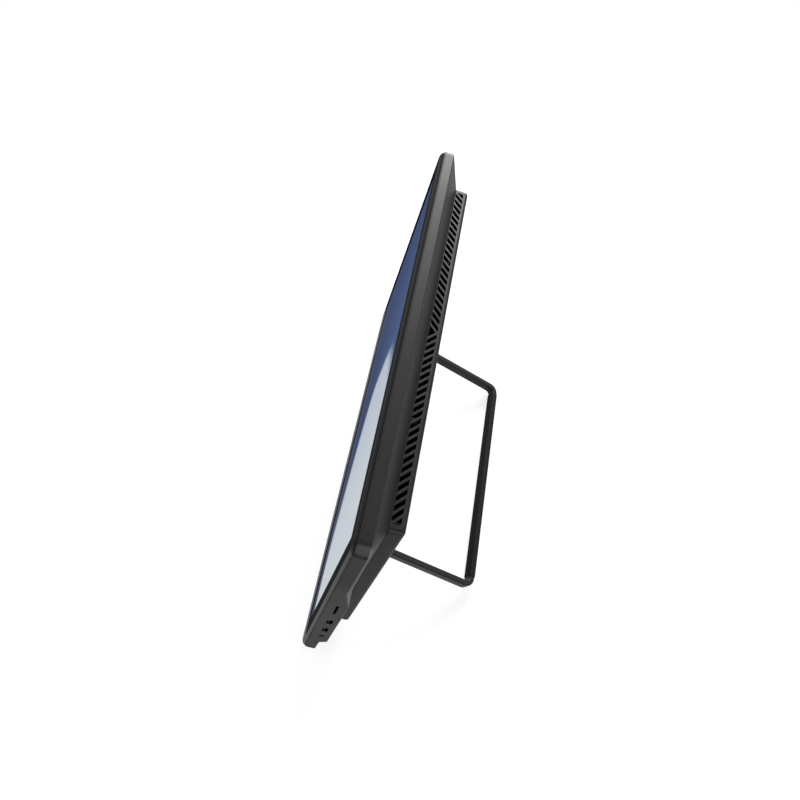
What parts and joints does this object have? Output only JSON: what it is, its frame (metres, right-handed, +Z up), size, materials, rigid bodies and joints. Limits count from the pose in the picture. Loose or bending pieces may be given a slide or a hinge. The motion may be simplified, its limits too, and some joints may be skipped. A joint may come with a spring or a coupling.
{
  "type": "all in one pc",
  "caption": "Thin all-in-one desktop computer with a flat screen, a vented rear housing, side ports and a folding loop stand.",
  "frame": {"origin": "on the desk plane, below the centre of the whole computer's bounding box with the stand open", "axes": "+X to the right as seen from the screen side, +Y from the screen to the back, +Z up from the desk"},
  "size_m": [0.4904, 0.179, 0.3052],
  "materials": {
    "case_plastic": "fine satin moulded black plastic",
    "housing_plastic": "textured moulded black plastic",
    "bezel_plastic": "smooth black plastic",
    "screen_glass": "glossy display face",
    "light_guide": "white backlight unit",
    "sheet_steel": "zinc-plated sheet steel",
    "painted_steel": "black powder coat",
    "bright_steel": "plated steel",
    "circuit_board": "green solder mask",
    "chip_plastic": "black moulded resin",
    "copper": "copper",
    "black_metal": "metal with a dull black finish",
    "fin_aluminium": "plain aluminium",
    "rubber": "black rubber",
    "port_plastic": "black connector plastic",
    "lens": "dark lens window",
    "cable_film": "flat cable film"
  },
  "bodies": {
    "computer": {"front_bezel": "bezel_plastic", "back_cover": "case_plastic", "rear_cover": "housing_plastic", "lcd_panel": "screen_glass", "backlight_unit": "light_guide", "panel_chassis": "sheet_steel", "display_cable": "cable_film", "webcam_module": "circuit_board", "webcam_window": "lens", "side_io_board": "circuit_board", "side_usb_shells": "black_metal", "side_usb_tongues": "port_plastic", "sd_card_socket": "port_plastic", "headset_jack": "port_plastic", "port_plate": "sheet_steel", "hdmi_port": "bright_steel", "lan_port": "port_plastic", "dc_inlet": "port_plastic", "rear_usb_ports": "bright_steel", "board_tray": "sheet_steel", "mainboard": "circuit_board", "processor": "chip_plastic", "cold_plate": "copper", "heat_pipe": "black_metal", "heat_sink": "black_metal", "fan_housing": "port_plastic", "memory_socket": "port_plastic", "memory_module": "circuit_board", "wlan_card": "circuit_board", "wlan_antennas": "cable_film", "coin_cell": "bright_steel", "hard_drive": "fin_aluminium", "drive_bracket": "sheet_steel", "speaker_left": "port_plastic", "speaker_right": "port_plastic", "button_board": "circuit_board", "tact_switches": "port_plastic", "hinge_bracket_left": "painted_steel", "hinge_bracket_right": "painted_steel", "hinge_pins": "bright_steel", "hinge_nuts": "bright_steel", "hinge_washers": "bright_steel", "front_feet": "rubber", "rear_cover_screws": "painted_steel", "chassis_screws": "bright_steel", "board_screws": "bright_steel", "side_board_screws": "bright_steel", "hinge_screws": "bright_steel"},
    "stand": {"stand_loop": "painted_steel", "stand_sleeve": "rubber"},
    "fan": {"fan_rotor": "port_plastic"},
    "power_button": {"power_button": "case_plastic"},
    "brightness_up_button": {"brightness_up_button": "case_plastic"},
    "brightness_down_button": {"brightness_down_button": "case_plastic"},
    "screen_off_button": {"screen_off_button": "case_plastic"}
  },
  "joints": [
    {"name": "stand_hinge", "type": "hinge", "parent": "computer", "child": "stand", "pos_m": [0, -0.0256, 0.0711], "axis": [1, 0, 0], "range_deg": [0, 109.49]},
    {"name": "fan_spin", "type": "hinge", "parent": "computer", "child": "fan", "pos_m": [0.0495, -0.01792, 0.21385], "axis": [0, 0.9816, -0.1908], "continuous": true},
    {"name": "power_press", "type": "slide", "parent": "computer", "child": "power_button", "axis": [1, 0, 0], "range_m": [0, 0.0008], "stiffness_N_per_m": 1500},
    {"name": "brightness_up_press", "type": "slide", "parent": "computer", "child": "brightness_up_button", "axis": [1, 0, 0], "range_m": [0, 0.0008], "stiffness_N_per_m": 1500},
    {"name": "brightness_down_press", "type": "slide", "parent": "computer", "child": "brightness_down_button", "axis": [1, 0, 0], "range_m": [0, 0.0008], "stiffness_N_per_m": 1500},
    {"name": "screen_off_press", "type": "slide", "parent": "computer", "child": "screen_off_button", "axis": [1, 0, 0], "range_m": [0, 0.0008], "stiffness_N_per_m": 1500}
  ]
}
